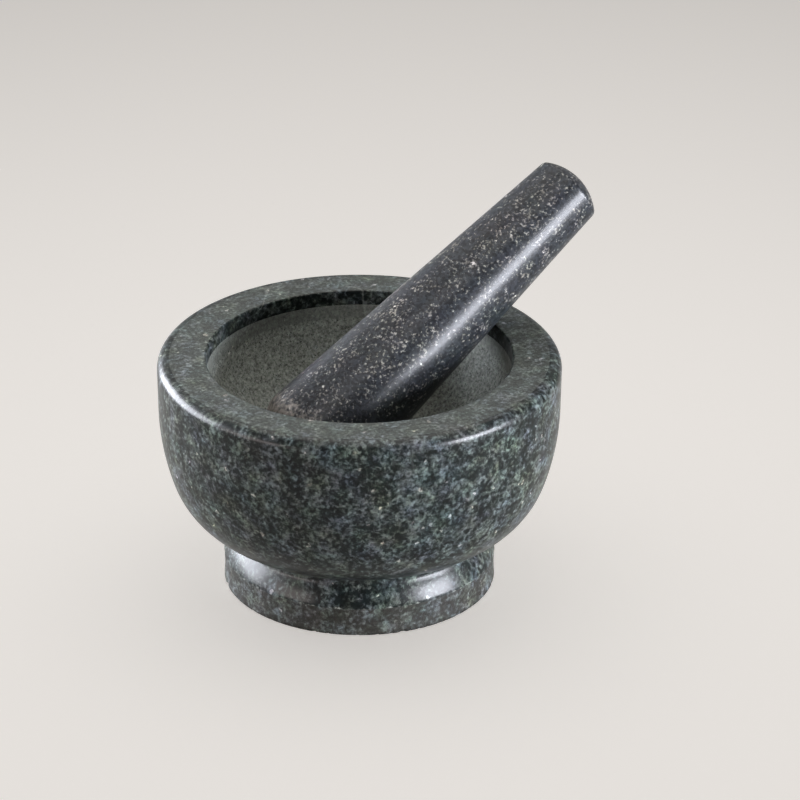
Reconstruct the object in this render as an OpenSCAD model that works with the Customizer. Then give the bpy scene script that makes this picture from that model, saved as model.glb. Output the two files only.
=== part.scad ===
// Footed granite mortar with a loose tapered pestle leaning on its rim.
//
// Origin: centre of the flat underside of the foot. +Z is up, along the
// mortar's turning axis. The pestle leans towards +X in the XZ plane, which
// is the mirror plane of the whole set.
//
// Both pieces are turned, so each one is a single outline spun round its own
// axis. The outlines are written as [radius, height] points: straight lines,
// and round stretches made by arc().

/* [Mortar outside] */
// Widest diameter, just below the rim
rim_d = 180; // [170:1:190]
// Overall height, foot included
mortar_h = 109; // [106:1:115]
// Rounding of the outer rim edge
rim_round = 5.5; // [4:0.5:7]
// Inward taper of the wall below the rim, in degrees
wall_taper = 1; // [0:0.5:3]
// Height of the straight wall below the rim
wall_h = 18.5; // [13:0.5:22]
// Radius of the long belly curve
belly_r = 109; // [95:1:125]
// Slope from upright where the belly meets the heel curve
belly_slope = 18.5; // [14:0.5:22]
// Radius of the heel curve, which turns in under the bowl
heel_r = 39; // [36:1:42]
// Slope from upright where the heel meets the neck
heel_slope = 73; // [70:1:78]

/* [Foot] */
// Largest diameter of the foot
foot_d = 122.4; // [121:0.2:126]
// Radius of the cove between bowl and foot
cove_r = 3; // [2:0.5:4]
// Height of the foot's waist, the slimmest line of its ground band
waist_h = 7.5; // [5:0.5:9]
// How far the ground band of the foot is drawn in at its waist
waist_in = 0.3; // [0:0.1:0.6]
// Eased edge where the foot meets the table
foot_ease = 0.7; // [0.3:0.1:1.5]

/* [Bowl inside] */
// Diameter of the mouth
mouth_d = 136; // [130:1:140]
// Rounding of the mouth's edge
mouth_round = 0.8; // [0.5:0.1:1.5]
// Height of the polished band inside the mouth
band_h = 7; // [4:0.5:10]
// How much smaller the radius is at the bottom of the polished band
band_in = 0.4; // [0:0.1:1]
// Depth of the bowl below the rim
bowl_depth = 61; // [58:1:63]

/* [Pestle] */
// Overall length
pestle_l = 182.5; // [175:0.5:190]
// Diameter of the grinding head
head_d = 52.5; // [47:0.5:53]
// Rounding between the head's side and its domed end
head_round = 12; // [9:1:15]
// Radius of the domed grinding end
head_dome_r = 60; // [45:1:90]
// Diameter at the top end
top_d = 33; // [30:1:36]
// Rounding of the top edge
top_round = 2.4; // [0.8:0.2:3]
// Radius of the domed top end
top_dome_r = 25; // [22:1:60]

/* [Resting pose] */
// Angle of the pestle's axis above the table, in degrees
lean = 32.9; // [32:0.1:33]
// Distance along the pestle from its grinding end to the mortar's axis
reach = 42.2; // [38:0.1:42.3]
// Gap kept between the pestle and the mouth's edge
rest_gap = 0.3; // [0.2:0.1:1]

/* [Hidden] */

$fn = 96;
STONE = "#3f4745";
DARK_STONE = "#34373a";

rim_r = rim_d / 2;
foot_r = foot_d / 2;
mouth_r = mouth_d / 2;
head_r = head_d / 2;
top_r = top_d / 2;

// The shoulder of the foot leans between these two angles: the first where it
// leaves the cove, the second at the crisp line where the ground band starts
shoulder_top = 34;
shoulder_end = 16;

// A point at distance r from centre c, in direction a
function polar(c, r, a) = c + r * [cos(a), sin(a)];

// The points of an arc of n steps round centre c, from angle a0 to a1
function arc(c, r, a0, a1, n) =
    [for (i = [0 : n]) polar(c, r, a0 + (a1 - a0) * i / n)];

// Height of the centre of an edge rounding that runs smoothly into a dome:
// the dome's radius is dome, the rounding's is round, at radius x
function dome_drop(dome, round, x) = dome - sqrt(pow(dome - round, 2) - x * x);

// Mortar, outside. Each curve's centre is found from where the one above it
// ends, so that wall, belly, heel and cove run into each other smoothly.
rim_c = [rim_r - rim_round, mortar_h - rim_round];
wall_top = polar(rim_c, rim_round, -wall_taper);
wall_end = wall_top - wall_h * [sin(wall_taper), cos(wall_taper)];
belly_c = polar(wall_end, -belly_r, -wall_taper);
belly_end = polar(belly_c, belly_r, -belly_slope);
heel_c = polar(belly_end, -heel_r, -belly_slope);
heel_end = polar(heel_c, heel_r, -heel_slope);
cove_c = polar(heel_end, cove_r, -heel_slope);
cove_end = polar(cove_c, cove_r, 180 + shoulder_top);
shoulder_r = (foot_r - cove_end[0]) / (cos(shoulder_end) - cos(shoulder_top));
shoulder_c = polar(cove_end, -shoulder_r, shoulder_top);

// Mortar, inside: the bowl below the polished band is half an ellipse
mouth_c = [mouth_r + mouth_round, mortar_h - mouth_round];
honed_r = mouth_r - band_in;
honed_top = mortar_h - band_h;
honed_depth = bowl_depth - band_h;
bowl_steps = 24;

mortar_outline = concat(
    [[0, 0], [foot_r - foot_ease, 0], [foot_r, foot_ease]],
    [[foot_r - waist_in, waist_h]],
    arc(shoulder_c, shoulder_r, shoulder_end, shoulder_top, 6),
    arc(cove_c, cove_r, 180 + shoulder_top, 180 - heel_slope, 8),
    arc(heel_c, heel_r, -heel_slope, -belly_slope, 14),
    arc(belly_c, belly_r, -belly_slope, -wall_taper, 6),
    arc(rim_c, rim_round, -wall_taper, 90, 6),
    arc(mouth_c, mouth_round, 90, 180, 4),
    [for (i = [0 : bowl_steps]) let (a = 90 * i / bowl_steps)
        [honed_r * cos(a), honed_top - honed_depth * sin(a)]]
);

// Pestle, from its grinding end at height 0 up to its top. The side is the
// straight line that touches both edge roundings.
head_c = [head_r - head_round, dome_drop(head_dome_r, head_round, head_r - head_round)];
top_c = [top_r - top_round,
         pestle_l - dome_drop(top_dome_r, top_round, top_r - top_round)];
head_dome_c = [0, head_dome_r];
top_dome_c = [0, pestle_l - top_dome_r];
centres = top_c - head_c;
side_slope = atan2(centres[1], centres[0]) - acos((head_round - top_round) / norm(centres));
head_turn = atan2(head_c[1] - head_dome_r, head_c[0]);
top_turn = atan2(top_c[1] - top_dome_c[1], top_c[0]);

pestle_outline = concat(
    arc(head_dome_c, head_dome_r, -90, head_turn, 6),
    arc(head_c, head_round, head_turn, side_slope, 12),
    arc(top_c, top_round, side_slope, top_turn, 4),
    arc(top_dome_c, top_dome_r, top_turn, 90, 6)
);

// Pestle, at rest. Its lower side keeps rest_gap from the mouth's rounded
// edge, which gives the height where its axis crosses the mortar's axis.
side_angle = lean + side_slope;
side_start = polar(head_c, head_round, side_slope);
radius_at_axis = side_start[0] - (reach - side_start[1]) * tan(side_slope);
edge_run = (mouth_c[0] - radius_at_axis * sin(lean)) * sin(side_angle);
axis_height = mouth_c[1] + radius_at_axis * cos(lean)
            - (edge_run - mouth_round - rest_gap) / cos(side_angle);

// Bowl and foot, turned from one block of granite
module mortar() {
    color(STONE) rotate_extrude() polygon(mortar_outline);
}

// Solid granite pestle, where it rests on the mouth's edge
module pestle() {
    color(DARK_STONE)
        translate([0, 0, axis_height])
            rotate([0, 90 - lean, 0])
                translate([0, 0, -reach])
                    rotate_extrude() polygon(pestle_outline);
}

mortar();
pestle();
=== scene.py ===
"""Granite mortar and pestle: the stone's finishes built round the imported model."""

import math
from functools import partial
from typing import NamedTuple

import bpy
from bpy.props import (
    FloatProperty,
    FloatVectorProperty,
    IntProperty,
    PointerProperty,
)
from mathutils import Euler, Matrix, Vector


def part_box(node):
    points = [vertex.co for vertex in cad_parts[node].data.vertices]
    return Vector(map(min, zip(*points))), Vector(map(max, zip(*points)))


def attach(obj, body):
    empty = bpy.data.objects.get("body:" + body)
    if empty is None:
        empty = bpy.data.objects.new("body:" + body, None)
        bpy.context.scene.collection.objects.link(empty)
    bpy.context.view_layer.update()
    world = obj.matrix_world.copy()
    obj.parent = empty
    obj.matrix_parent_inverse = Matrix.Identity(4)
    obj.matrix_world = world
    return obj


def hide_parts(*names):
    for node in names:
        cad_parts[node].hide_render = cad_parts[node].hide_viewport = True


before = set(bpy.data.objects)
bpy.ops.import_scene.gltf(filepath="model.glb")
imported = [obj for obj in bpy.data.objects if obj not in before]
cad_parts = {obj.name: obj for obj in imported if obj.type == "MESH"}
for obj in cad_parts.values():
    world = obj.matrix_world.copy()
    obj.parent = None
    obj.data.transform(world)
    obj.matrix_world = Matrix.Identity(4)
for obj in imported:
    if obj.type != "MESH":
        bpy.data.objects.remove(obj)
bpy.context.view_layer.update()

bl_info = {
    "name": "Granite Mortar and Pestle",
    "version": (1, 0, 0),
    "blender": (4, 5, 0),
    "location": "View3D > Sidebar > Mortar",
    "description": "Builds a turned granite mortar with its leaning pestle",
    "category": "Add Mesh",
}

MM = 0.001
MORTAR_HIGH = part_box("mortar")[1]
PESTLE_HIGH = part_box("pestle")[1]


def linear(hex_colour):
    """An sRGB hex colour such as "3f4745" as linear red, green, blue and alpha."""
    channels = [int(hex_colour[i : i + 2], 16) / 255 for i in (0, 2, 4)]
    return [c / 12.92 if c <= 0.04045 else ((c + 0.055) / 1.055) ** 2.4 for c in channels] + [1.0]


# ---------------------------------------------------------------- properties


def length(name, description, default):
    """A size in metres with a name, a description and a default."""
    return FloatProperty(
        name=name, description=description, default=default, unit="LENGTH", precision=5
    )


def angle(name, description, degrees):
    """An angle whose default is given in degrees."""
    return FloatProperty(
        name=name, description=description, default=math.radians(degrees), unit="ROTATION"
    )


def count(name, description, default):
    """A whole number of at least one."""
    return IntProperty(name=name, description=description, default=default, min=1)


def colour(name, description, hex_colour):
    """A colour whose default is an sRGB hex value."""
    return FloatVectorProperty(
        name=name,
        description=description,
        default=linear(hex_colour),
        size=4,
        subtype="COLOR",
        min=0,
        max=1,
    )


class MortarSizes(bpy.types.PropertyGroup):
    """Outline of the mortar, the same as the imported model's."""

    rim_radius: length("Rim radius", "Widest radius, just below the rim", MORTAR_HIGH.x)
    height: length("Height", "Overall height, foot included", MORTAR_HIGH.z)
    rim_round: length("Rim rounding", "Rounding of the outer rim edge", 5.5 * MM)
    wall_taper: angle("Wall taper", "Inward slope of the wall below the rim", 1)
    wall_height: length("Wall height", "Straight wall below the rim", 18.5 * MM)
    belly_radius: length("Belly radius", "Radius of the long belly curve", 109 * MM)
    belly_slope: angle("Belly slope", "Slope where the belly meets the heel", 18.5)
    heel_radius: length("Heel radius", "Radius of the curve that turns in under the bowl", 39 * MM)
    heel_slope: angle("Heel slope", "Slope where the heel meets the neck", 73)
    cove_radius: length("Cove radius", "Radius of the cove between bowl and foot", 3 * MM)
    shoulder_top: angle("Shoulder top", "Lean of the shoulder where it leaves the cove", 34)
    shoulder_end: angle("Shoulder end", "Lean of the shoulder at the crisp line above the ground band", 16)
    foot_radius: length("Foot radius", "Largest radius of the foot", 61.2 * MM)
    waist_height: length("Waist height", "Height of the ground band's waist", 7.5 * MM)
    waist_in: length("Waist depth", "How far the ground band is drawn in", 0.3 * MM)
    foot_ease: length("Foot edge", "Eased edge where the foot meets the table", 0.7 * MM)
    mouth_radius: length("Mouth radius", "Radius of the mouth", 68 * MM)
    mouth_round: length("Mouth rounding", "Rounding of the mouth's edge", 0.8 * MM)
    band_height: length("Band height", "Polished band inside the mouth", 7 * MM)
    band_in: length("Band taper", "How much the polished band narrows", 0.4 * MM)
    bowl_depth: length("Bowl depth", "Depth of the bowl below the rim", 61 * MM)
    steps_around: count("Steps around", "Faces round the mortar", 432)


class PestleSizes(bpy.types.PropertyGroup):
    """Outline and resting pose of the pestle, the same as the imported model's."""

    overall_length: length("Length", "From the grinding end to the top", 182.5 * MM)
    head_radius: length("Head radius", "Radius of the grinding head", PESTLE_HIGH.y)
    head_round: length("Head rounding", "Rounding between side and grinding end", 12 * MM)
    head_dome: length("Head dome", "Radius of the domed grinding end", 60 * MM)
    top_radius: length("Top radius", "Radius at the top end", 16.5 * MM)
    top_round: length("Top rounding", "Rounding of the top edge", 2.4 * MM)
    top_dome: length("Top dome", "Radius of the domed top end", 25 * MM)
    lean: angle("Lean", "Angle of the axis above the table", 32.9)
    reach: length("Reach", "From the grinding end to the mortar's axis", 42.2 * MM)
    rest_gap: length("Rest gap", "Gap to the mouth's edge", 0.3 * MM)
    steps_around: count("Steps around", "Faces round the pestle", 256)


class StoneLook(bpy.types.PropertyGroup):
    """Colours and grain of the two granites."""

    dark: colour("Dark mineral", "Hornblende and mica in the mortar's stone", "080d0c")
    pale: colour("Pale mineral", "Feldspar in the mortar's stone", "424846")
    white: colour("White grains", "Quartz and clean feldspar", "8b8984")
    powder: colour("Stone powder", "Crushed grains on the mortar's cut faces", "999d95")
    wheel_dust: colour("Wheel dust", "Brown dust rubbed into the foot's ground band", "5f5850")
    grain: length("Grain", "Width of a crystal in the mortar's stone", 1.9 * MM)
    pestle_dark: colour("Pestle dark mineral", "Ground mass of the pestle's stone", "1b1d20")
    pestle_pale: colour("Pestle pale mineral", "Flecks in the pestle's stone", "565551")
    pestle_powder: colour("Pestle powder", "Crushed grains on the pestle's working end", "8e8780")
    pestle_grain: length("Pestle grain", "Width of a fleck in the pestle's stone", 1.4 * MM)


class StageSettings(bpy.types.PropertyGroup):
    """Camera, table and light tent."""

    distance: length("Distance", "Level distance of the camera from the mortar's axis", 2.0032)
    rise: length("Rise", "Height of the camera above the rim", 0.9514)
    pitch: angle("Pitch", "How far the camera looks down", 25.927)
    turn: angle("Turn", "Turn of the camera round the mortar, from the front", -33.4)
    lens: FloatProperty(name="Lens", description="Focal length in millimetres", default=225)
    shift: FloatProperty(name="Shift", description="Sideways shift of the frame", default=0.05075)
    table: colour("Table", "Pale table top", "e5e1dd")
    # The table's glow is painted light that fills in the stones' shadow on the table
    table_glow: FloatProperty(name="Table glow", description="Light the table gives off", default=0.62)
    front: FloatProperty(name="Front", description="Glow of the light tent's front", default=0.12)
    roof: FloatProperty(name="Roof", description="Glow of the light tent's roof", default=0.6)
    roof_lean: angle("Roof lean", "Angle from straight up back to the roof's brightest part", 35)


# ---------------------------------------------------------------- outlines


FINE = 0.25             # spacing on small roundings, as a share of that elsewhere
COARSE = 4.0            # spacing on the hidden underside, likewise
BOWL_DENSITY = 1.25     # points on the bowl's ellipse, against those on a round bowl at that spacing
WORN_PART = 12          # the worn collar takes one in this many of the bowl's steps


def polar(centre, radius, turn):
    """The point at that distance and direction from centre, as (radius, height)."""
    return (centre[0] + radius * math.cos(turn), centre[1] + radius * math.sin(turn))


def arc(centre, radius, start, end, spacing):
    """Points along an arc, about spacing apart."""
    steps = max(3, round(abs(radius * (end - start)) / spacing))
    return [polar(centre, radius, start + (end - start) * i / steps) for i in range(steps + 1)]


def line(start, end, spacing):
    """Points along a straight stretch, about spacing apart."""
    steps = max(1, round(math.dist(start, end) / spacing))
    return [
        (start[0] + (end[0] - start[0]) * i / steps, start[1] + (end[1] - start[1]) * i / steps)
        for i in range(steps + 1)
    ]


def dome_drop(dome, rounding, x):
    """How far the centre of an edge rounding at radius x sits below a dome's top."""
    return dome - math.sqrt((dome - rounding) ** 2 - x * x)


def mortar_stretches(s, spacing):
    """The mortar's outline from the middle of its underside, out, up and into the bowl.

    Each stretch is (finish, points). Each curve's centre comes from the end of the one above it.
    Also returns the point of the crisp ring above the foot's ground band.
    """
    down = -s.wall_taper
    rim_centre = (s.rim_radius - s.rim_round, s.height - s.rim_round)
    wall_top = polar(rim_centre, s.rim_round, down)
    wall_end = polar(wall_top, s.wall_height, down - math.pi / 2)
    belly_centre = polar(wall_end, -s.belly_radius, down)
    belly_end = polar(belly_centre, s.belly_radius, -s.belly_slope)
    heel_centre = polar(belly_end, -s.heel_radius, -s.belly_slope)
    heel_end = polar(heel_centre, s.heel_radius, -s.heel_slope)
    cove_centre = polar(heel_end, s.cove_radius, -s.heel_slope)
    cove_turn = math.pi + s.shoulder_top
    cove_end = polar(cove_centre, s.cove_radius, cove_turn)
    shoulder_width = s.foot_radius - cove_end[0]
    shoulder_radius = shoulder_width / (math.cos(s.shoulder_end) - math.cos(s.shoulder_top))
    shoulder_centre = polar(cove_end, -shoulder_radius, s.shoulder_top)
    ring = polar(shoulder_centre, shoulder_radius, s.shoulder_end)
    mouth_centre = (s.mouth_radius + s.mouth_round, s.height - s.mouth_round)
    band_end = (s.mouth_radius - s.band_in, s.height - s.band_height)
    honed_depth = s.bowl_depth - s.band_height
    bowl_steps = round(BOWL_DENSITY * s.mouth_radius * math.pi / 2 / spacing)
    worn_steps = bowl_steps // WORN_PART
    bowl = [
        (band_end[0] * math.cos(t), band_end[1] - honed_depth * math.sin(t))
        for t in (math.pi / 2 * i / bowl_steps for i in range(bowl_steps + 1))
    ]
    waist = (s.foot_radius - s.waist_in, s.waist_height)
    base_edge = (s.foot_radius - s.foot_ease, 0.0)
    foot_edge = (s.foot_radius, s.foot_ease)
    fine = spacing * FINE
    return ring, [
        ("ground", line((0.0, 0.0), base_edge, spacing * COARSE)),
        ("ground", line(base_edge, foot_edge, fine)),
        ("ground", line(foot_edge, waist, spacing)),
        ("ground", line(waist, ring, spacing)),
        ("polished", arc(shoulder_centre, shoulder_radius, s.shoulder_end, s.shoulder_top, spacing)),
        ("polished", arc(cove_centre, s.cove_radius, cove_turn, math.pi - s.heel_slope, spacing)),
        ("polished", arc(heel_centre, s.heel_radius, -s.heel_slope, -s.belly_slope, spacing)),
        ("polished", arc(belly_centre, s.belly_radius, -s.belly_slope, down, spacing)),
        ("polished", line(wall_end, wall_top, spacing)),
        ("polished", arc(rim_centre, s.rim_round, down, math.pi / 2, fine)),
        ("satin", line((rim_centre[0], s.height), (mouth_centre[0], s.height), spacing)),
        ("polished", arc(mouth_centre, s.mouth_round, math.pi / 2, math.pi, fine)),
        ("polished", line((s.mouth_radius, mouth_centre[1]), band_end, spacing)),
        ("worn", bowl[: worn_steps + 1]),
        ("honed", bowl[worn_steps:]),
    ]


def pestle_stretches(s, spacing):
    """The pestle's outline from its grinding end at height 0 to its top, as (finish, points).

    Also returns the turn and the lower end of its straight side.
    """
    head_x = s.head_radius - s.head_round
    head_centre = (head_x, dome_drop(s.head_dome, s.head_round, head_x))
    top_x = s.top_radius - s.top_round
    top_centre = (top_x, s.overall_length - dome_drop(s.top_dome, s.top_round, top_x))
    head_dome = (0.0, s.head_dome)
    top_dome = (0.0, s.overall_length - s.top_dome)
    dx, dz = top_centre[0] - head_centre[0], top_centre[1] - head_centre[1]
    side = math.atan2(dz, dx) - math.acos((s.head_round - s.top_round) / math.hypot(dx, dz))
    head_turn = math.atan2(head_centre[1] - s.head_dome, head_x)
    top_turn = math.atan2(top_centre[1] - top_dome[1], top_x)
    side_start = polar(head_centre, s.head_round, side)
    side_end = polar(top_centre, s.top_round, side)
    fine = spacing * FINE
    return side, side_start, [
        ("bruised", arc(head_dome, s.head_dome, -math.pi / 2, head_turn, spacing)),
        ("bruised", arc(head_centre, s.head_round, head_turn, side, spacing)),
        ("polished", line(side_start, side_end, spacing)),
        ("polished", arc(top_centre, s.top_round, side, top_turn, fine)),
        ("polished", arc(top_dome, s.top_dome, top_turn, math.pi / 2, spacing)),
    ]


def pestle_axis_height(pestle, mortar, side, side_start):
    """Height at which the resting pestle's axis crosses the mortar's axis."""
    mouth = (mortar.mouth_radius + mortar.mouth_round, mortar.height - mortar.mouth_round)
    radius = side_start[0] - (pestle.reach - side_start[1]) * math.tan(side)
    run = (mouth[0] - radius * math.sin(pestle.lean)) * math.sin(pestle.lean + side)
    clear = mortar.mouth_round + pestle.rest_gap
    return mouth[1] + radius * math.cos(pestle.lean) - (run - clear) / math.cos(pestle.lean + side)


# ---------------------------------------------------------------- node helper


def add(tree, kind, inputs=None, **settings):
    """Adds a node with its settings.

    inputs maps a socket's name or number to what goes in: a value, a socket to link, or a node,
    which stands for its first live output.
    """
    node = tree.nodes.new(kind)
    for key, value in settings.items():
        setattr(node, key, value)
    for key, value in (inputs or {}).items():
        if isinstance(value, bpy.types.Node):
            value = next(socket for socket in value.outputs if socket.enabled)
        if isinstance(value, bpy.types.NodeSocket):
            tree.links.new(value, node.inputs[key])
        else:
            node.inputs[key].default_value = value
    return node


# ---------------------------------------------------------------- stone


class Stone(NamedTuple):
    """A kind of granite. Sizes are those of the real grains."""

    ground: tuple           # colour of the ground mass
    crystal: tuple          # colour of the crystals in it
    white: tuple            # colour of the few clean white grains
    grain: float            # width of a crystal
    clump: float            # width of the patches in which crystals gather
    cover: tuple            # levels of the grain pattern where crystal starts and where it is full
    clumping: float         # how strongly crystals gather in the patches
    tint: tuple             # how far the hue wanders in red, green and blue
    tint_size: float        # width of a patch of one hue
    white_share: float      # share of the grains that are white
    offset: float           # where in the endless pattern this stone was cut, in metres
    bend: float             # how far the crystals' edges are bent, in grains
    veins: float            # strength of the healed cracks


def mortar_stone(look):
    """Green-black granite: close, soft-edged grey-green crystals, nearly as much crystal as ground mass."""
    return Stone(
        ground=look.dark,
        crystal=look.pale,
        white=look.white,
        grain=look.grain,
        clump=4.0 * look.grain,
        cover=(0.36, 0.80),
        clumping=0.60,
        tint=(0.45, 0.3, 0.9),
        tint_size=11 * MM,
        white_share=0.008,
        offset=0.37,
        bend=1.1,
        veins=0.12,
    )


def pestle_stone(look):
    """Charcoal granite: a dark ground mass with cream flecks that gather in loose clouds."""
    return Stone(
        ground=look.pestle_dark,
        crystal=look.pestle_pale,
        white=look.white,
        grain=look.pestle_grain,
        clump=5.0 * look.pestle_grain,
        cover=(0.55, 0.68),
        clumping=0.40,
        tint=(0.25, 0.2, 0.3),
        tint_size=14 * MM,
        white_share=0.02,
        offset=0.81,
        bend=0.5,
        veins=0.0,
    )


class Finish(NamedTuple):
    """How a surface of the stone was made."""

    rough: float            # roughness of the bare stone
    shine: float            # strength of its reflections
    bump: float             # depth of the relief between the grains
    powder: float           # share of crushed grains everywhere
    dust: float             # more of them in ragged patches, mostly along worn edges
    pores: float            # how dark the open pores are
    mottle: float           # strength of the fine mottling
    relief: float           # share of the cut relief that the surface takes
    polish: float = 0.0     # strength of the clear second reflection that polishing brings
    polish_rough: float = 0.3


# What each surface gives the eye:
#   polished   bright, dark and deep: reflections hold together, and grains show their full contrast
#   satin      the rim, rubbed by hand after polishing: a soft sheen, the grains a little greyer
#   worn       the bowl's upper edge, smoothed again by the pestle: a soft sheen over the honed grain
#   honed      the bowl, cut with coarse grit so that it grinds: no gloss, grey-green powder in the pores
#   ground     the foot's band, left from the wheel: dull, browner, with a chipped lower edge
#   bruised    the pestle's working end, crushed by use: pale and dull where it strikes
FINISHES = {
    "polished": Finish(
        0.40, 0.10, 0.010 * MM, powder=0.0, dust=0.6, pores=0.0, mottle=1.6, relief=0.0,
        polish=0.18, polish_rough=0.22,
    ),
    "satin": Finish(0.55, 0.14, 0.03 * MM, powder=0.07, dust=0.2, pores=0.1, mottle=3.3, relief=0.1),
    "worn": Finish(0.46, 0.45, 0.06 * MM, powder=0.30, dust=0.3, pores=0.4, mottle=2.6, relief=0.5),
    "honed": Finish(0.70, 0.20, 0.14 * MM, powder=0.42, dust=0.3, pores=0.7, mottle=3.9, relief=1.0),
    "ground": Finish(0.60, 0.15, 0.08 * MM, powder=0.10, dust=0.0, pores=0.2, mottle=1.8, relief=0.8),
    "bruised": Finish(0.55, 0.20, 0.08 * MM, powder=0.0, dust=0.6, pores=0.2, mottle=1.6, relief=1.0),
}
STONE_IOR = 1.5         # quartz and feldspar
PORE = 0.9 * MM         # spacing of the pores, wider than the real ones so that they show
RAGGED = 2.2 * MM       # width of the patches in which crushed grains gather
MOTTLE = 1.4 * MM       # width of the fine mottling, coarser than the grit's marks so that it shows
VEIN_WANDER = 70 * MM   # length over which a healed crack changes its way
VEIN_LENGTH = 45 * MM   # rough length of a healed crack


def granite(name, stone, finish, powder):
    """Granite of that stone with that finish. powder is the colour of the crushed grains on a cut face."""
    cut = FINISHES[finish]
    grain = stone.grain
    material = bpy.data.materials.new(name)
    material.use_nodes = True
    tree = material.node_tree
    tree.nodes.clear()
    node = partial(add, tree)
    smooth = {"interpolation_type": "SMOOTHSTEP"}
    mixed = {"data_type": "RGBA", "blend_type": "MIX"}
    times = {"data_type": "RGBA", "blend_type": "MULTIPLY"}

    # Every pattern is read through a slight warp, so that crystals have bent, interlocking edges
    place = node("ShaderNodeTexCoord").outputs["Object"]
    shift = node("ShaderNodeVectorMath", {0: place, 1: (stone.offset,) * 3}, operation="ADD")
    bend = node("ShaderNodeTexNoise", {"Vector": shift, "Scale": 1 / (1.3 * grain)}).outputs["Color"]
    bent = node("ShaderNodeVectorMath", {0: bend, 1: (0.5, 0.5, 0.5)}, operation="SUBTRACT")
    scaled = node("ShaderNodeVectorMath", {0: bent, "Scale": stone.bend * grain}, operation="SCALE")
    where = node("ShaderNodeVectorMath", {0: shift, 1: scaled}, operation="ADD")

    # Crystals in the ground mass, gathered in clumps
    crystals = {"Vector": where, "Scale": 1 / grain, "Detail": 3.0, "Roughness": 0.62}
    crystals = node("ShaderNodeTexNoise", crystals)
    clumps = node("ShaderNodeTexNoise", {"Vector": shift, "Scale": 1 / stone.clump})
    clumps = node("ShaderNodeMath", {0: clumps, 1: 0.5}, operation="SUBTRACT")
    gathered = {0: clumps, 1: stone.clumping, 2: crystals}
    gathered = node("ShaderNodeMath", gathered, operation="MULTIPLY_ADD")
    start, full = stone.cover
    crystal = node("ShaderNodeMapRange", {"Value": gathered, "From Min": start, "From Max": full}, **smooth)
    colour = node("ShaderNodeMix", {0: crystal, 6: stone.ground, 7: stone.crystal}, **mixed)

    # Single grains, each of its own brightness, a few of them white
    cells = node("ShaderNodeTexVoronoi", {"Vector": where, "Scale": 1 / (0.8 * grain)})
    single = node("ShaderNodeSeparateColor", {0: cells.outputs["Color"]}).outputs
    shade = node("ShaderNodeMapRange", {"Value": single["Red"], "To Min": 0.5, "To Max": 1.5}, **smooth)
    shades = node("ShaderNodeCombineColor", {0: shade, 1: shade, 2: shade})
    colour = node("ShaderNodeMix", {0: 1.0, 6: colour, 7: shades}, **times)
    share = stone.white_share
    white = {"Value": single["Green"], "From Min": 1 - share, "From Max": 1 - 0.6 * share}
    white = node("ShaderNodeMapRange", white, **smooth)
    white = node("ShaderNodeMath", {0: white, 1: crystal}, operation="MULTIPLY")
    colour = node("ShaderNodeMix", {0: white, 6: colour, 7: stone.white}, **mixed)

    # The hue wanders from green through slate blue to brown
    hue = {"Vector": shift, "Scale": 1 / stone.tint_size, "Roughness": 0.6}
    hue = node("ShaderNodeTexNoise", hue).outputs["Color"]
    steady = [1 - amount / 2 for amount in stone.tint]
    drift = node("ShaderNodeVectorMath", {0: hue, 1: stone.tint, 2: steady}, operation="MULTIPLY_ADD")
    colour = node("ShaderNodeMix", {0: 1.0, 6: colour, 7: drift}, **times)

    # A few healed cracks, thin and pale, that wander through the stone
    course = node("ShaderNodeTexNoise", {"Vector": shift, "Scale": 1 / VEIN_WANDER, "Detail": 1.5})
    course = node("ShaderNodeMath", {0: course, 1: 0.5}, operation="SUBTRACT")
    course = node("ShaderNodeMath", {0: course}, operation="ABSOLUTE")
    crack = node("ShaderNodeMapRange", {"Value": course, "From Min": 0.005, "From Max": 0.001}, **smooth)
    sparse = node("ShaderNodeTexNoise", {"Vector": shift, "Scale": 1 / VEIN_LENGTH, "Detail": 1.0})
    sparse = node("ShaderNodeMapRange", {"Value": sparse, "From Min": 0.60, "From Max": 0.66}, **smooth)
    sparse = node("ShaderNodeMath", {0: sparse, 1: stone.veins}, operation="MULTIPLY")
    vein = node("ShaderNodeMath", {0: crack, 1: sparse}, operation="MULTIPLY")
    colour = node("ShaderNodeMix", {0: vein, 6: colour, 7: powder}, **mixed)

    # Crushed grains on a cut or worn face
    wear = node("ShaderNodeAttribute", attribute_name="wear", attribute_type="GEOMETRY").outputs["Fac"]
    patches = node("ShaderNodeTexNoise", {"Vector": shift, "Scale": 1 / RAGGED, "Detail": 3.0})
    ragged = node("ShaderNodeMath", {0: patches, 1: wear}, operation="ADD")
    ragged = node("ShaderNodeMapRange", {"Value": ragged, "From Min": 0.72, "From Max": 1.12}, **smooth)
    dusty = {0: ragged, 1: cut.dust, 2: cut.powder}
    dusty = node("ShaderNodeMath", dusty, operation="MULTIPLY_ADD", use_clamp=True)
    colour = node("ShaderNodeMix", {0: dusty, 6: colour, 7: powder}, **mixed)

    # The open pores between the grains, only some of them deep enough to look dark
    pore = node("ShaderNodeTexVoronoi", {"Vector": where, "Scale": 1 / PORE}).outputs
    deep = node("ShaderNodeSeparateColor", {0: pore["Color"]}).outputs["Red"]
    deep = node("ShaderNodeMapRange", {"Value": deep, "From Min": 0.72, "From Max": 0.78}, **smooth)
    spot = {"Value": pore["Distance"], "From Min": 0.45, "From Max": 0.25}
    spot = node("ShaderNodeMapRange", spot, **smooth)
    spot = node("ShaderNodeMath", {0: spot, 1: deep}, operation="MULTIPLY")
    open_pores = node("ShaderNodeMath", {0: spot, 1: cut.pores}, operation="MULTIPLY")
    colour = node("ShaderNodeMix", {0: open_pores, 6: colour, 7: stone.ground}, **mixed)

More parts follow.
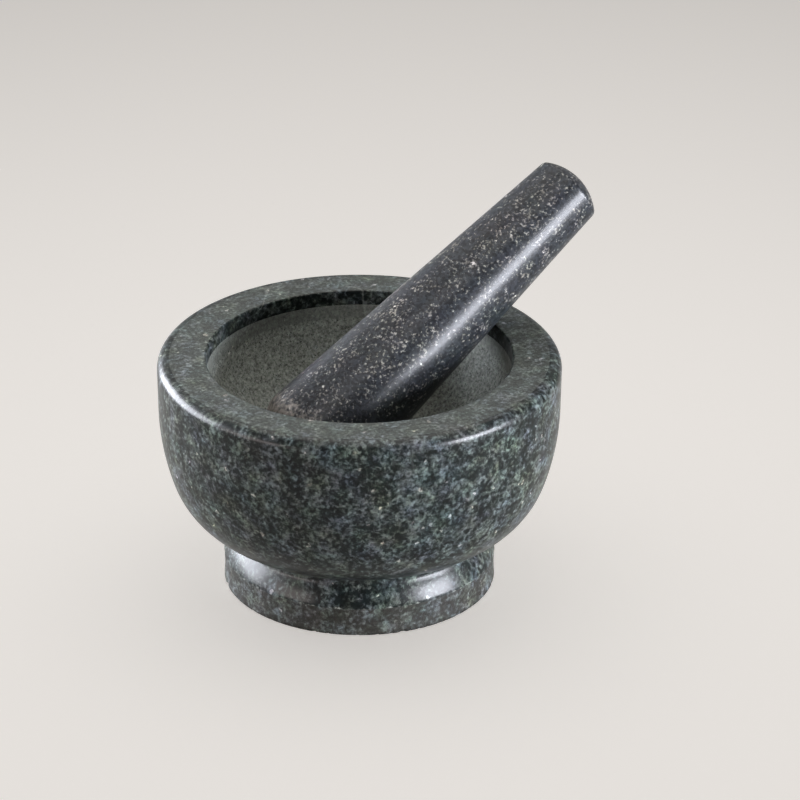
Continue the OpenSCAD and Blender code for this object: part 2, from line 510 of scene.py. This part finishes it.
    # Fine mottling, stronger where the cut left the grains open
    fine = {"Vector": shift, "Scale": 1 / MOTTLE, "Detail": 4.0, "Roughness": 0.75}
    fine = node("ShaderNodeTexNoise", fine)
    fine = node("ShaderNodeMath", {0: fine, 1: 0.5}, operation="SUBTRACT")
    mottle = node("ShaderNodeMath", {0: fine, 1: cut.mottle, 2: 1.0}, operation="MULTIPLY_ADD")
    mottle = node("ShaderNodeCombineColor", {0: mottle, 1: mottle, 2: mottle})
    colour = node("ShaderNodeMix", {0: 1.0, 6: colour, 7: mottle}, **times)

    # Crystals are a little duller than the ground mass, and crushed grains duller still
    rough = node("ShaderNodeMath", {0: crystals, 1: 0.16, 2: cut.rough - 0.08}, operation="MULTIPLY_ADD")
    rough = {0: ragged, 1: 0.25, 2: rough}
    rough = node("ShaderNodeMath", rough, operation="MULTIPLY_ADD", use_clamp=True)

    # Each grain stands at its own height, and the pores lie below them all
    step = node("ShaderNodeMath", {0: single["Blue"], 1: 0.4}, operation="MULTIPLY")
    height = node("ShaderNodeMath", {0: crystals, 1: step}, operation="ADD")
    height = node("ShaderNodeMath", {0: height, 1: spot}, operation="SUBTRACT")
    relief = node("ShaderNodeBump", {"Strength": 1.0, "Distance": cut.bump, "Height": height})
    shader = node(
        "ShaderNodeBsdfPrincipled",
        {
            "Base Color": colour,
            "Roughness": rough,
            "Normal": relief,
            "IOR": STONE_IOR,
            "Specular IOR Level": cut.shine,
            "Coat Weight": cut.polish,
            "Coat Roughness": cut.polish_rough,
            "Coat IOR": STONE_IOR,
            "Coat Normal": relief,
        },
    )
    node("ShaderNodeOutputMaterial", {"Surface": shader})
    return material


# ---------------------------------------------------------------- turning


WANDER = 60 * MM        # length over which a turned surface strays from true
WELD = 0.01 * MM        # points closer than this are one, along the seam and at the poles


def turning_tree(finishes):
    """Geometry nodes that spin an outline round Z, roughen it and give each stretch its finish.

    The outline is a row of points. Its "finish" attribute numbers the material of the stretch that
    starts at each point, "rough" says how much of the relief each point takes, and "wear" how worn
    and chipped it is.
    """
    tree = bpy.data.node_groups.new("turned_stone", "GeometryNodeTree")
    sockets = tree.interface
    sockets.new_socket("Outline", in_out="INPUT", socket_type="NodeSocketGeometry")
    for name, kind in (
        ("Rings", "NodeSocketInt"),
        ("Steps around", "NodeSocketInt"),
        ("Out of round", "NodeSocketFloat"),
        ("Relief", "NodeSocketFloat"),
        ("Relief size", "NodeSocketFloat"),
        ("Chips", "NodeSocketFloat"),
        ("Chip size", "NodeSocketFloat"),
        ("Seed", "NodeSocketFloat"),
        ("Tilt", "NodeSocketRotation"),
        ("Drop", "NodeSocketFloat"),
        ("Lift", "NodeSocketFloat"),
    ):
        sockets.new_socket(name, in_out="INPUT", socket_type=kind)
    for finish in finishes:
        sockets.new_socket(finish, in_out="INPUT", socket_type="NodeSocketMaterial")
    sockets.new_socket("Stone", in_out="OUTPUT", socket_type="NodeSocketGeometry")
    given = add(tree, "NodeGroupInput").outputs
    node = partial(add, tree)

    # A flat grid, whose X is the way round and whose Y is the way along the outline
    columns = node("ShaderNodeMath", {0: given["Steps around"], 1: 1.0}, operation="ADD")
    size = {"Size X": 1.0, "Size Y": 1.0, "Vertices X": columns, "Vertices Y": given["Rings"]}
    grid = node("GeometryNodeMeshGrid", size)
    place = node("ShaderNodeSeparateXYZ", {0: node("GeometryNodeInputPosition")}).outputs
    last_ring = node("ShaderNodeMath", {0: given["Rings"], 1: 1.0}, operation="SUBTRACT")
    along = node("ShaderNodeMath", {0: place["Y"], 1: 0.5}, operation="ADD")
    ring = node("ShaderNodeMath", {0: along, 1: last_ring}, operation="MULTIPLY")
    ring_here = node("ShaderNodeMath", {0: ring}, operation="ROUND")
    ring_before = node("ShaderNodeMath", {0: ring}, operation="FLOOR")
    around = node("ShaderNodeMath", {0: place["X"], 1: 0.5}, operation="ADD")
    turn = node("ShaderNodeMath", {0: around, 1: math.tau}, operation="MULTIPLY")

    def at_ring(ring, kind, name=None):
        """The outline's attribute of that name at that ring, or its position without a name."""
        if name:
            value = node("GeometryNodeInputNamedAttribute", {"Name": name}, data_type=kind)
        else:
            value = node("GeometryNodeInputPosition")
        picked = {"Geometry": given["Outline"], "Value": value, "Index": ring}
        return node("GeometryNodeSampleIndex", picked, data_type=kind, domain="POINT", clamp=True)

    outline = at_ring(ring_here, "FLOAT_VECTOR")
    finish = at_ring(ring_before, "INT", "finish")
    rough = at_ring(ring_here, "FLOAT", "rough")
    wear = at_ring(ring_here, "FLOAT", "wear")

    faces = node("GeometryNodeCaptureAttribute", {"Geometry": grid}, domain="FACE")
    faces.capture_items.new("INT", "Finish")
    tree.links.new(finish.outputs["Value"], faces.inputs["Finish"])
    points = node("GeometryNodeCaptureAttribute", {"Geometry": faces}, domain="POINT")
    points.capture_items.new("FLOAT", "Rough")
    tree.links.new(rough.outputs["Value"], points.inputs["Rough"])
    points.capture_items.new("FLOAT", "Wear")
    tree.links.new(wear.outputs["Value"], points.inputs["Wear"])
    stored = {"Geometry": points, "Name": "wear", "Value": wear}
    stored = node("GeometryNodeStoreNamedAttribute", stored, data_type="FLOAT", domain="POINT")
    spun = node("ShaderNodeVectorRotate", {"Vector": outline, "Angle": turn}, rotation_type="Z_AXIS")
    lathe = node("GeometryNodeSetPosition", {"Geometry": stored, "Position": spun})
    welded = node("GeometryNodeMergeByDistance", {"Geometry": lathe, "Distance": WELD})

    # Relief, all of it cut inwards: a slow wander of the whole surface, a finer one where the finish
    # is rough, and chips along the worn edges
    here = node("GeometryNodeInputPosition")

    def wander(size, detail):
        """A pattern from 0 to 1 that rises and falls over that length."""
        scale = node("ShaderNodeMath", {0: 1.0, 1: size}, operation="DIVIDE")
        pattern = {"Vector": here, "W": given["Seed"], "Scale": scale, "Detail": detail, "Roughness": 0.6}
        return node("ShaderNodeTexNoise", pattern, noise_dimensions="4D")

    def cut(size, detail, depth):
        """Relief from 0 down to depth below the surface."""
        low = node("ShaderNodeMath", {0: wander(size, detail), 1: 1.0}, operation="SUBTRACT")
        return node("ShaderNodeMath", {0: low, 1: depth}, operation="MULTIPLY")

    slow = cut(WANDER, 1.0, given["Out of round"])
    quick = cut(given["Relief size"], 3.0, given["Relief"])
    quick = node("ShaderNodeMath", {0: quick, 1: points.outputs["Rough"]}, operation="MULTIPLY")
    chips = wander(given["Chip size"], 3.0)
    chips = {"Value": chips, "From Min": 0.52, "From Max": 0.68, "To Min": 0.0, "To Max": -1.0}
    chips = node("ShaderNodeMapRange", chips, interpolation_type="SMOOTHSTEP")
    chips = node("ShaderNodeMath", {0: chips, 1: given["Chips"]}, operation="MULTIPLY")
    chips = node("ShaderNodeMath", {0: chips, 1: points.outputs["Wear"]}, operation="MULTIPLY")
    depth = node("ShaderNodeMath", {0: quick, 1: chips}, operation="ADD")
    depth = node("ShaderNodeMath", {0: slow, 1: depth}, operation="ADD")
    normal = node("GeometryNodeInputNormal")
    push = node("ShaderNodeVectorMath", {0: normal, "Scale": depth}, operation="SCALE")
    worn = node("GeometryNodeSetPosition", {"Geometry": welded, "Offset": push})

    # Into place: down its own axis, tilted, then up to where that axis crosses the mortar's
    drop = node("ShaderNodeCombineXYZ", {"Z": given["Drop"]})
    lift = node("ShaderNodeCombineXYZ", {"Z": given["Lift"]})
    dropped = node("GeometryNodeTransform", {"Geometry": worn, "Translation": drop})
    placed = {"Geometry": dropped, "Translation": lift, "Rotation": given["Tilt"]}
    placed = node("GeometryNodeTransform", placed)
    shaded = node("GeometryNodeSetShadeSmooth", {"Geometry": placed})
    last = node("GeometryNodeRealizeInstances", {"Geometry": shaded})
    for number, name in enumerate(finishes):
        chosen = {2: faces.outputs["Finish"], 3: number}
        chosen = node("FunctionNodeCompare", chosen, data_type="INT", operation="EQUAL")
        last = {"Geometry": last, "Selection": chosen, "Material": given[name]}
        last = node("GeometryNodeSetMaterial", last)
    node("NodeGroupOutput", {"Stone": last})
    return tree


def turned_piece(name, stretches, materials, edges, inputs):
    """Turns the stretches into one closed piece of stone.

    materials are by finish. edges are the worn places: (point on the outline, reach, amount).
    """
    finishes = list(materials)
    points, numbers, rough = [], [], []
    for finish, stretch in stretches:
        points += stretch[:-1]
        numbers += [finishes.index(finish)] * (len(stretch) - 1)
        rough += [FINISHES[finish].relief] * (len(stretch) - 1)
    points.append(stretches[-1][1][-1])
    numbers.append(numbers[-1])
    rough.append(rough[-1])
    wear = [
        max(amount * math.exp(-((math.dist(point, edge) / reach) ** 2)) for edge, reach, amount in edges)
        for point in points
    ]

    outline = bpy.data.meshes.new(name + "_outline")
    outline.from_pydata([(x, 0.0, z) for x, z in points], [], [])
    for attribute, kind, values in (
        ("finish", "INT", numbers),
        ("rough", "FLOAT", rough),
        ("wear", "FLOAT", wear),
    ):
        outline.attributes.new(attribute, kind, "POINT").data.foreach_set("value", values)
    source = bpy.data.objects.new(name + "_outline", outline)
    bpy.context.scene.collection.objects.link(source)

    tree = turning_tree(finishes)
    modifier = source.modifiers.new("turning", "NODES")
    modifier.node_group = tree
    values = {"Rings": len(points), **inputs, **materials}
    for socket in tree.interface.items_tree:
        if socket.in_out == "INPUT" and socket.name in values:
            modifier[socket.identifier] = values[socket.name]

    evaluated = source.evaluated_get(bpy.context.evaluated_depsgraph_get())
    mesh = bpy.data.meshes.new_from_object(evaluated)
    mesh.name = name
    bpy.data.objects.remove(source)
    bpy.data.node_groups.remove(tree)
    piece = bpy.data.objects.new(name, mesh)
    bpy.context.scene.collection.objects.link(piece)
    return piece


# ---------------------------------------------------------------- stage


# Softboxes stand round the stones. Each has its compass direction and height in degrees, as the
# camera sees them (0 is to its right, 90 is behind the mortar), its width and height in metres,
# its power in watts and its tint. Flags keep their light off the table. The front stays dim, so
# that the stone looks dark and deep.
SOFTBOXES = (
    ("softbox_left", 157, 10, 1.6, 0.9, 150, "f2f5ff"),
    ("softbox_low", 212, 8, 1.1, 0.5, 15, "fff2ee"),
    ("softbox_right", -25, 9, 0.85, 0.6, 112, "f2f5ff"),
    ("softbox_roof", 95, 64, 1.3, 1.3, 15, "fffaf4"),
    ("softbox_front", 305, 72, 1.2, 1.0, 12, "fffcf8"),
)
SOFTBOX_DISTANCE = 1.6
AIM = 0.6                   # the softboxes' aim, as a share of the mortar's height
TABLE_HALF = 6.0            # half the width of the table top
LIT_RADII = (0.1, 1.4)      # distances from the mortar's axis between which the table's painted glow fades
FAR_GLOW = 0.15             # share of that light left beyond the second one
TENT_FADE = (0.1, 0.9)      # cosines of the angle off the roof's brightest part: all front, all roof
TENT_WHITE = "fffefc"       # the tent's cloth
CAMERA_REACH = 50           # how far the camera sees


def glowing_table(stage):
    """A pale matt table top with a painted glow of its own, brightest round the mortar and fading outwards,
    which fills in the stones' shadow on it.
    """
    corners = [(TABLE_HALF * x, TABLE_HALF * y) for x, y in ((-1, -1), (1, -1), (1, 1), (-1, 1))]
    mesh = bpy.data.meshes.new("table_top")
    mesh.from_pydata([(x, y, 0) for x, y in corners], [], [(0, 1, 2, 3)])
    table = bpy.data.objects.new("table_top", mesh)
    bpy.context.scene.collection.objects.link(table)
    material = bpy.data.materials.new("table_painted_glow")
    material.use_nodes = True
    tree = material.node_tree
    shader = tree.nodes["Principled BSDF"]
    shader.inputs["Base Color"].default_value = stage.table
    shader.inputs["Roughness"].default_value = 0.9
    shader.inputs["Specular IOR Level"].default_value = 0.0
    # Painted glow: the table gives off light of its own colour, which fills in the stones' shadow on it
    shader.inputs["Emission Color"].default_value = stage.table
    place = add(tree, "ShaderNodeTexCoord").outputs["Object"]
    far = add(tree, "ShaderNodeVectorMath", {0: place}, operation="LENGTH").outputs["Value"]
    fade = {"Value": far, "From Min": LIT_RADII[0], "From Max": LIT_RADII[1]}
    fade |= {"To Min": stage.table_glow, "To Max": FAR_GLOW * stage.table_glow}
    fade = add(tree, "ShaderNodeMapRange", fade, interpolation_type="SMOOTHSTEP")
    tree.links.new(fade.outputs["Result"], shader.inputs["Emission Strength"])
    mesh.materials.append(material)
    return table


def light_tent(stage):
    """A white tent round the set, dim in front and brightest above and behind."""
    world = bpy.data.worlds.new("light_tent")
    bpy.context.scene.world = world
    world.use_nodes = True
    tree = world.node_tree
    way = add(tree, "ShaderNodeTexCoord").outputs["Generated"]
    roof = (-math.sin(stage.turn), math.cos(stage.turn), 1 / math.tan(stage.roof_lean))
    roof = Vector(roof).normalized()
    towards = add(tree, "ShaderNodeVectorMath", {0: way, 1: roof}, operation="DOT_PRODUCT")
    glow = {"Value": towards.outputs["Value"], "From Min": TENT_FADE[0], "From Max": TENT_FADE[1]}
    glow |= {"To Min": stage.front, "To Max": stage.roof}
    glow = add(tree, "ShaderNodeMapRange", glow, interpolation_type="SMOOTHSTEP")
    background = tree.nodes["Background"]
    background.inputs["Color"].default_value = linear(TENT_WHITE)
    tree.links.new(glow.outputs["Result"], background.inputs["Strength"])


def softbox(name, target, direction, size, watts, tint, lit):
    """A rectangular soft light that shines at target from that direction and lights only lit."""
    light = bpy.data.lights.new(name, "AREA")
    light.shape = "RECTANGLE"
    light.size, light.size_y = size
    light.energy = watts
    light.color = linear(tint)[:3]
    lamp = bpy.data.objects.new(name, light)
    lamp.location = target + direction * SOFTBOX_DISTANCE
    lamp.rotation_euler = direction.to_track_quat("Z", "Y").to_euler()
    lamp.light_linking.receiver_collection = lit
    bpy.context.scene.collection.objects.link(lamp)


def set_camera(stage, rim_height):
    """The camera, in front of the mortar and above its rim."""
    scene = bpy.context.scene
    camera = bpy.data.cameras.new("camera")
    camera.lens = stage.lens
    camera.shift_x = stage.shift
    camera.clip_end = CAMERA_REACH
    eye = bpy.data.objects.new("camera", camera)
    eye.location = (
        stage.distance * math.sin(stage.turn),
        -stage.distance * math.cos(stage.turn),
        rim_height + stage.rise,
    )
    eye.rotation_euler = Euler((math.pi / 2 - stage.pitch, 0.0, stage.turn))
    scene.collection.objects.link(eye)
    scene.camera = eye


# ---------------------------------------------------------------- operators


# The relief cut into each stone: how far it is out of round, the depth and width of the finer
# relief, the depth and width of the chips, and the seed of all three
MORTAR_RELIEF = {
    "Out of round": 0.3 * MM,
    "Relief": 0.25 * MM,
    "Relief size": 5 * MM,
    "Chips": 0.7 * MM,
    "Chip size": 3.5 * MM,
    "Seed": 3.0,
}
PESTLE_RELIEF = {
    "Out of round": 0.3 * MM,
    "Relief": 0.25 * MM,
    "Relief size": 4 * MM,
    "Chips": 0.3 * MM,
    "Chip size": 4 * MM,
    "Seed": 7.0,
}
MORTAR_SPACING = 1.45 * MM      # points along each outline
PESTLE_SPACING = 0.9 * MM


class STONE_OT_mortar(bpy.types.Operator):
    """Turn the mortar, with its polished, satin, worn, honed and ground faces"""

    bl_idname = "stone.mortar"
    bl_label = "Mortar"

    def execute(self, context):
        sizes, look = context.scene.mortar_sizes, context.scene.stone_look
        stone = mortar_stone(look)
        materials = {
            finish: granite("green_granite_" + finish, stone, finish, powder)
            for finish, powder in (
                ("polished", look.powder),
                ("satin", look.powder),
                ("worn", look.powder),
                ("honed", look.powder),
                ("ground", look.wheel_dust),
            )
        }
        ring, stretches = mortar_stretches(sizes, MORTAR_SPACING)
        foot_edge = (sizes.foot_radius, sizes.foot_ease)
        mouth_edge = (sizes.mouth_radius, sizes.height)
        edges = [(foot_edge, 1.6 * MM, 1.0), (mouth_edge, 1.6 * MM, 0.15), (ring, 0.8 * MM, 0.3)]
        inputs = {**MORTAR_RELIEF, "Steps around": sizes.steps_around}
        piece = turned_piece("mortar_stone", stretches, materials, edges, inputs)
        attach(piece, "mortar")
        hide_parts("mortar")
        return {"FINISHED"}


class STONE_OT_pestle(bpy.types.Operator):
    """Turn the pestle, with its polished side and bruised head, and lean it on the mouth's edge"""

    bl_idname = "stone.pestle"
    bl_label = "Pestle"

    def execute(self, context):
        scene = context.scene
        sizes, look = scene.pestle_sizes, scene.stone_look
        side, side_start, stretches = pestle_stretches(sizes, PESTLE_SPACING)
        stone = pestle_stone(look)
        materials = {
            finish: granite("charcoal_granite_" + finish, stone, finish, look.pestle_powder)
            for finish in ("polished", "bruised")
        }
        head = (sizes.head_radius, 4 * MM)
        top_edge = (sizes.top_radius, sizes.overall_length - 5 * MM)
        edges = [(head, 13 * MM, 0.6), (top_edge, 2 * MM, 0.25)]
        inputs = {
            **PESTLE_RELIEF,
            "Steps around": sizes.steps_around,
            "Tilt": Euler((0.0, math.pi / 2 - sizes.lean, 0.0)),
            "Drop": -sizes.reach,
            "Lift": pestle_axis_height(sizes, scene.mortar_sizes, side, side_start),
        }
        piece = turned_piece("pestle_stone", stretches, materials, edges, inputs)
        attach(piece, "pestle")
        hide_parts("pestle")
        return {"FINISHED"}


class STONE_OT_stage(bpy.types.Operator):
    """Set the pale table, the light tent, the softboxes and the camera"""

    bl_idname = "stone.stage"
    bl_label = "Stage"

    def execute(self, context):
        scene = context.scene
        stage, mortar = scene.stage_settings, scene.mortar_sizes
        glowing_table(stage)
        light_tent(stage)

        stones = bpy.data.collections.new("stones")
        for piece in ("mortar_stone", "pestle_stone"):
            stones.objects.link(bpy.data.objects[piece])
        target = Vector((0, 0, mortar.height * AIM))
        for name, bearing, rise, width, height, watts, tint in SOFTBOXES:
            heading, rise = math.radians(bearing) + stage.turn, math.radians(rise)
            level = math.cos(rise)
            direction = Vector((math.cos(heading) * level, math.sin(heading) * level, math.sin(rise)))
            softbox(name, target, direction, (width, height), watts, tint, stones)

        set_camera(stage, mortar.height)
        scene.view_settings.view_transform = "Standard"
        return {"FINISHED"}


class STONE_PT_panel(bpy.types.Panel):
    """Buttons for the pieces and the stage"""

    bl_label = "Mortar and Pestle"
    bl_idname = "STONE_PT_panel"
    bl_space_type = "VIEW_3D"
    bl_region_type = "UI"
    bl_category = "Mortar"

    def draw(self, context):
        for operator in (STONE_OT_mortar, STONE_OT_pestle, STONE_OT_stage):
            self.layout.operator(operator.bl_idname)


GROUPS = {
    "mortar_sizes": MortarSizes,
    "pestle_sizes": PestleSizes,
    "stone_look": StoneLook,
    "stage_settings": StageSettings,
}
CLASSES = [*GROUPS.values(), STONE_OT_mortar, STONE_OT_pestle, STONE_OT_stage, STONE_PT_panel]


def register():
    """Adds the classes and the scene's settings."""
    for cls in CLASSES:
        bpy.utils.register_class(cls)
    for name, group in GROUPS.items():
        setattr(bpy.types.Scene, name, PointerProperty(type=group))


def unregister():
    """Takes away what register() added."""
    for name in GROUPS:
        delattr(bpy.types.Scene, name)
    for cls in reversed(CLASSES):
        bpy.utils.unregister_class(cls)


def main():
    """Builds everything."""
    register()
    bpy.ops.stone.mortar()
    bpy.ops.stone.pestle()
    bpy.ops.stone.stage()


if __name__ == "__main__":
    main()
